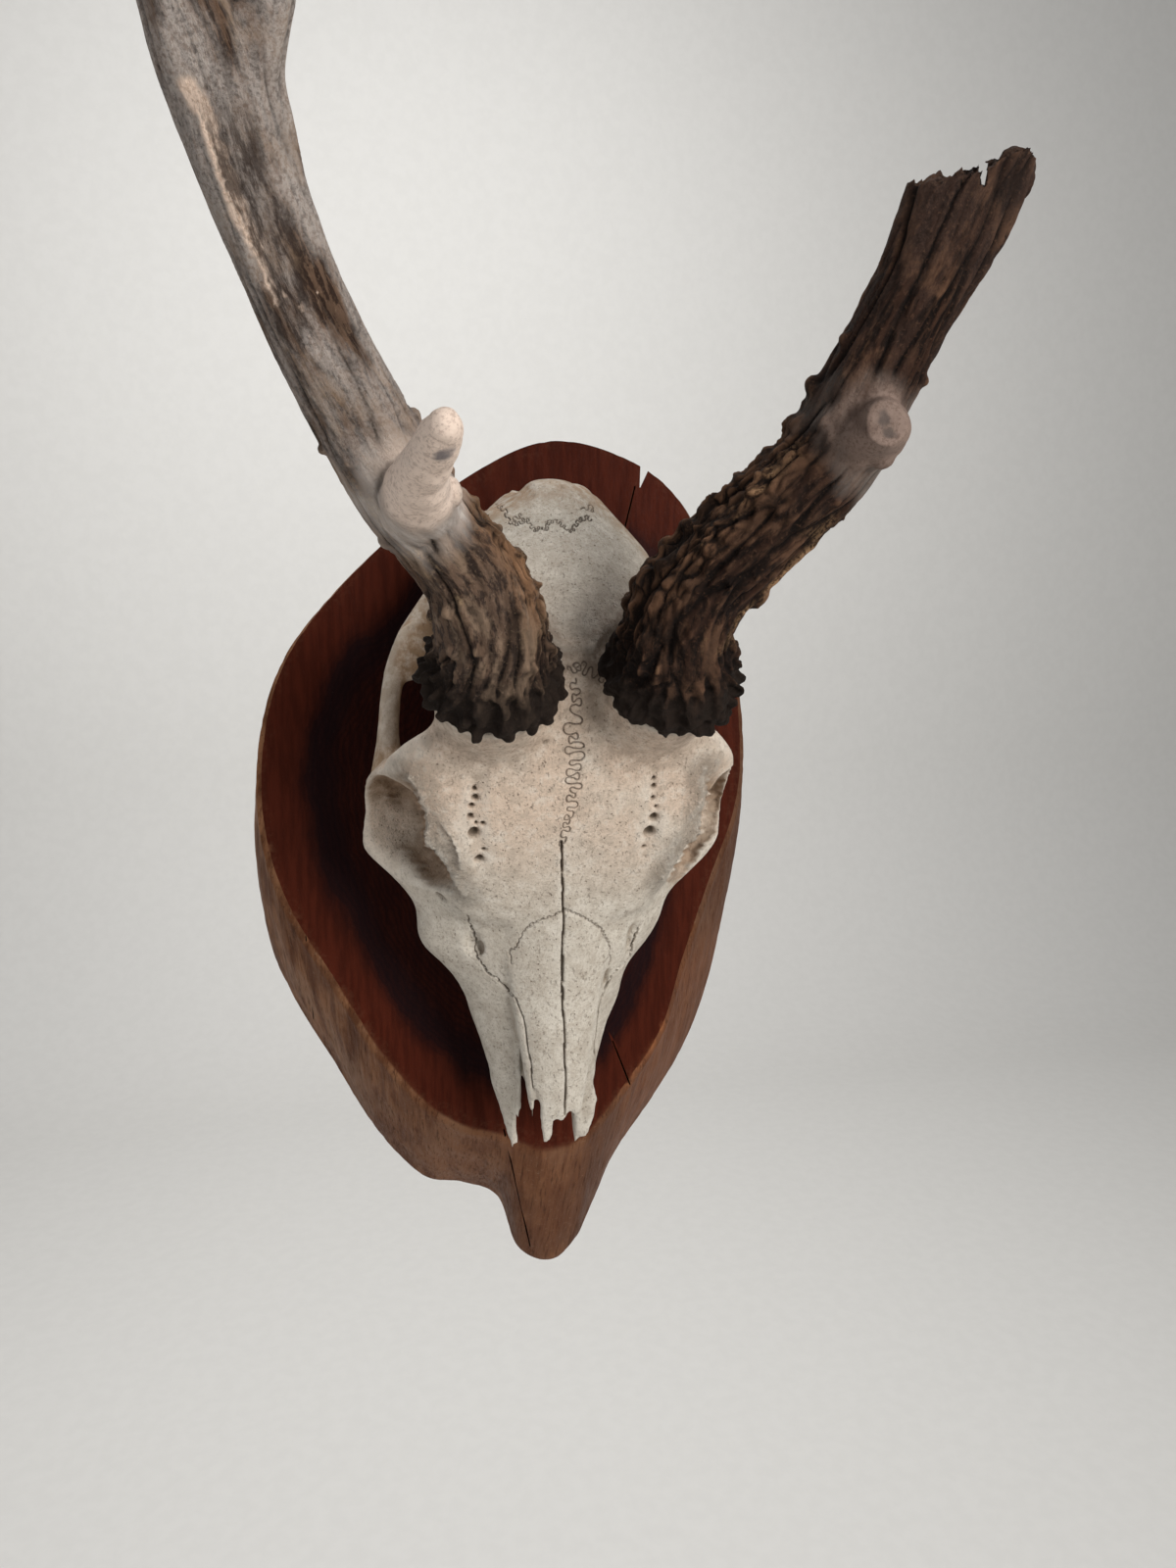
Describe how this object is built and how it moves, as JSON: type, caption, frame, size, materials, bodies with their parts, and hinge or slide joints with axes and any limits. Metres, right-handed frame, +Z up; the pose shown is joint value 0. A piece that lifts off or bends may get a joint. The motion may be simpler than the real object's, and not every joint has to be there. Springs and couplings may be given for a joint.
{
  "type": "antler mounting plaque",
  "caption": "Deer skull with two antlers, one broken short, resting on an oblique live-edge log slice that hangs flat on a wall.",
  "frame": {"origin": "on the flat back face of the log slice, on the skull's midline, where the mount meets the wall", "axes": "+Z up the wall, +Y into the wall, +X to the viewer's right"},
  "size_m": [0.1944, 0.2733, 0.4467],
  "materials": {
    "wood": "oiled red heartwood, satin, paler sapwood at the sides",
    "bone": "bleached dry bone, matt",
    "left_horn": "weathered antler, brown grooves and greyer ridges",
    "right_horn": "dark weathered antler with deep grooves"
  },
  "bodies": {
    "root": {"wooden_plaque": "wood", "deer_skull": "bone", "left_antler": "left_horn", "right_antler": "right_horn"}
  },
  "joints": []
}
